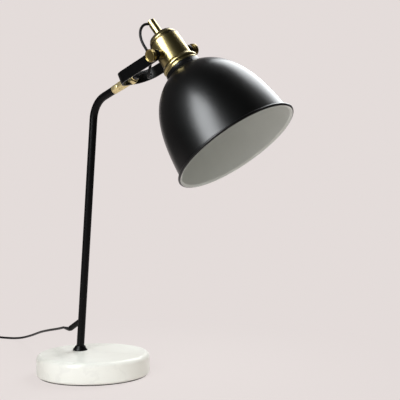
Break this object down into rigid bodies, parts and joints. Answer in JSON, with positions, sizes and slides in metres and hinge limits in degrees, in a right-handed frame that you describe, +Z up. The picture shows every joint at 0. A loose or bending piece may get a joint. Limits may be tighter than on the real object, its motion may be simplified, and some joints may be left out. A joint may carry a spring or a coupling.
{
  "type": "desk lamp",
  "caption": "Desk lamp: marble foot, bent steel stem, swivelling yoke and a domed metal shade on a tilting brass lamp holder, with cord, switch and plug.",
  "frame": {"origin": "middle of the foot's underside, where the lamp stands", "axes": "+Z up, +X forward, the way the head leans out over the desk"},
  "size_m": [0.8263, 0.1886, 0.4856],
  "materials": {
    "felt": "matte",
    "marble": "satin",
    "black_metal": "satin",
    "steel": "satin",
    "black_rubber": "matte",
    "light_brass": "polished",
    "black_matte": "matte",
    "black_gloss": "gloss",
    "dark_brass": "satin",
    "washer_brass": "satin",
    "insulator": "satin",
    "contact_brass": "satin",
    "shade_enamel": "satin",
    "black_plastic": "satin",
    "rocker_plastic": "satin",
    "pin_metal": "polished"
  },
  "bodies": {
    "stand": {"felt_pad": "felt", "marble_base": "marble", "stem_collar": "black_metal", "stem_stud": "steel", "base_washer": "steel", "base_nut": "steel", "stem_tube": "black_metal", "cord_outlet": "black_metal", "cord_boot": "black_rubber", "stem_lead": "black_rubber", "arm_ferrule": "light_brass", "mains_cord": "black_rubber", "cord_coil": "black_rubber", "switch_base": "black_plastic", "switch_cover": "black_plastic", "switch_pin": "steel", "switch_screws": "steel", "switch_contacts": "contact_brass", "plug_body": "black_plastic", "plug_pins": "pin_metal", "plug_boot": "black_rubber"},
    "yoke": {"yoke_ferrule": "light_brass", "swivel_screw": "steel", "yoke_strap": "black_matte", "yoke_nut": "light_brass", "cable_bush": "black_gloss", "jumper_lead": "black_rubber"},
    "head": {"hinge_bosses": "dark_brass", "hinge_washers": "washer_brass", "cord_tube": "dark_brass", "cap_nut": "dark_brass", "cup_cap": "dark_brass", "holder_cup": "dark_brass", "gallery_ring": "dark_brass", "holder_insert": "insulator", "screw_shell": "contact_brass", "centre_contact": "contact_brass", "terminal_screws": "steel", "shade": "shade_enamel", "shade_ring": "insulator"},
    "near_knob": {"near_knob": "dark_brass"},
    "far_knob": {"far_knob": "dark_brass"},
    "rocker": {"switch_rocker": "rocker_plastic"}
  },
  "joints": [
    {"name": "yoke_swivel", "type": "hinge", "parent": "stand", "child": "yoke", "pos_m": [0.076, 0, 0.40623], "axis": [0.9466, 0, 0.3223], "range_deg": [-70, 50]},
    {"name": "head_tilt", "type": "hinge", "parent": "yoke", "child": "head", "pos_m": [0.17445, 0, 0.43975], "axis": [-0.056, 0.9848, 0.1644], "range_deg": [-50, 40], "deforming": ["jumper_lead"]},
    {"name": "near_knob_turn", "type": "hinge", "parent": "head", "child": "near_knob", "pos_m": [0.17658, -0.03742, 0.4335], "axis": [0.056, -0.9848, -0.1644], "range_deg": [0, 270]},
    {"name": "far_knob_turn", "type": "hinge", "parent": "head", "child": "far_knob", "pos_m": [0.17233, 0.03742, 0.44599], "axis": [-0.056, 0.9848, 0.1644], "range_deg": [0, 270]},
    {"name": "switch_rock", "type": "hinge", "parent": "stand", "child": "rocker", "pos_m": [-0.417, 0.072, 0.0105], "axis": [0, -1, 0], "range_deg": [0, 16]}
  ]
}
